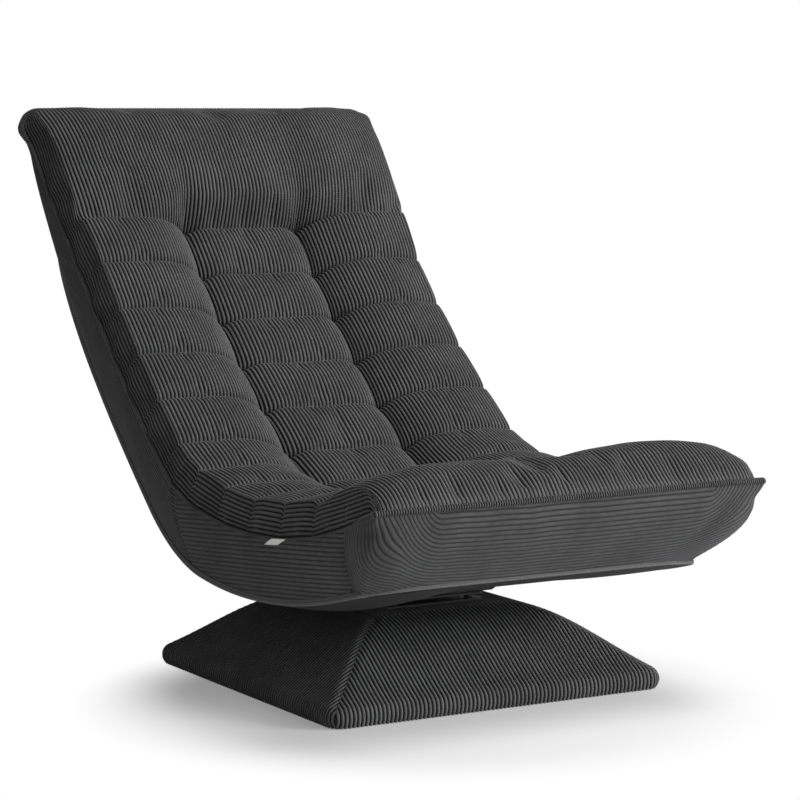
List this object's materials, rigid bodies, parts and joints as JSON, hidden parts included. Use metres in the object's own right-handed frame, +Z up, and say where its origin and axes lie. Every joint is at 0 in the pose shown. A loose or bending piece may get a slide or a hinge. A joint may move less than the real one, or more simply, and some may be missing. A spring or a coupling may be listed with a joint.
{
  "type": "swivel floor recliner",
  "caption": "Low lounge chair without arms: a tufted corduroy seat and ratchet back on a swivel, over a square fabric-covered pyramid base.",
  "frame": {"origin": "on the floor, at the middle of the base's underside, on the swivel axis", "axes": "+Z up along the swivel axis, the chair faces -Y, the sitter's left is +X"},
  "size_m": [0.5648, 1.0143, 0.7455],
  "materials": {
    "corduroy": "matte",
    "lining": "matte",
    "webbing": "matte",
    "black_steel": "satin",
    "zinc_steel": "satin",
    "plywood": "matte",
    "rubber": "matte",
    "nylon": "satin"
  },
  "bodies": {
    "base": {"nonslip_mat": "rubber", "base_floor_board": "plywood", "base_hip_rails": "plywood", "base_top_board": "plywood", "base_cover": "corduroy", "lower_swivel_plate": "zinc_steel", "swivel_rivet": "zinc_steel", "base_plate_bolts": "zinc_steel", "base_plate_nuts": "zinc_steel"},
    "ball_race": {"bearing_balls": "zinc_steel", "bearing_cage": "nylon"},
    "seat": {"upper_swivel_plate": "zinc_steel", "seat_plate_bolts": "zinc_steel", "seat_plate_nuts": "zinc_steel", "seat_cross_bars": "black_steel", "seat_frame": "black_steel", "seat_webbing": "webbing", "seat_cushion": "corduroy", "fold_cushion": "corduroy", "seat_dust_cover": "lining", "seat_hinge_arm_left": "black_steel", "seat_hinge_arm_right": "black_steel", "ratchet_gear_left": "zinc_steel", "ratchet_gear_right": "zinc_steel", "pivot_pin_left": "zinc_steel", "pivot_pin_right": "zinc_steel"},
    "back": {"back_frame": "black_steel", "back_cross_bar": "black_steel", "back_webbing": "webbing", "back_cushion": "corduroy", "back_rear_cover": "lining", "back_hinge_arm_left": "black_steel", "back_hinge_arm_right": "black_steel", "pawl_pin_left": "zinc_steel", "pawl_pin_right": "zinc_steel", "pawl_spring_left": "zinc_steel", "pawl_spring_right": "zinc_steel"},
    "pawl_left": {"pawl_left": "zinc_steel"},
    "pawl_right": {"pawl_right": "zinc_steel"}
  },
  "joints": [
    {"name": "swivel", "type": "hinge", "parent": "base", "child": "seat", "pos_m": [0, 0, 0.11], "axis": [0, 0, 1], "continuous": true},
    {"name": "race_spin", "type": "hinge", "parent": "base", "child": "ball_race", "pos_m": [0, 0, 0.11], "axis": [0, 0, 1], "continuous": true},
    {"name": "back_recline", "type": "hinge", "parent": "seat", "child": "back", "pos_m": [0, 0.13028, 0.23733], "axis": [1, 0, 0], "range_deg": [0, 90], "deforming": ["fold_cushion"]},
    {"name": "pawl_left_drop", "type": "hinge", "parent": "back", "child": "pawl_left", "pos_m": [0, 0.15326, 0.25502], "axis": [1, 0, 0], "range_deg": [-10, 0], "deforming": ["pawl_spring_left"]},
    {"name": "pawl_right_drop", "type": "hinge", "parent": "back", "child": "pawl_right", "pos_m": [0, 0.15326, 0.25502], "axis": [1, 0, 0], "range_deg": [-10, 0], "deforming": ["pawl_spring_right"]}
  ],
  "couplings": [
    {"joint": "race_spin", "follows": "swivel", "ratio": 0.5},
    {"joint": "pawl_right_drop", "follows": "pawl_left_drop", "ratio": 1}
  ]
}
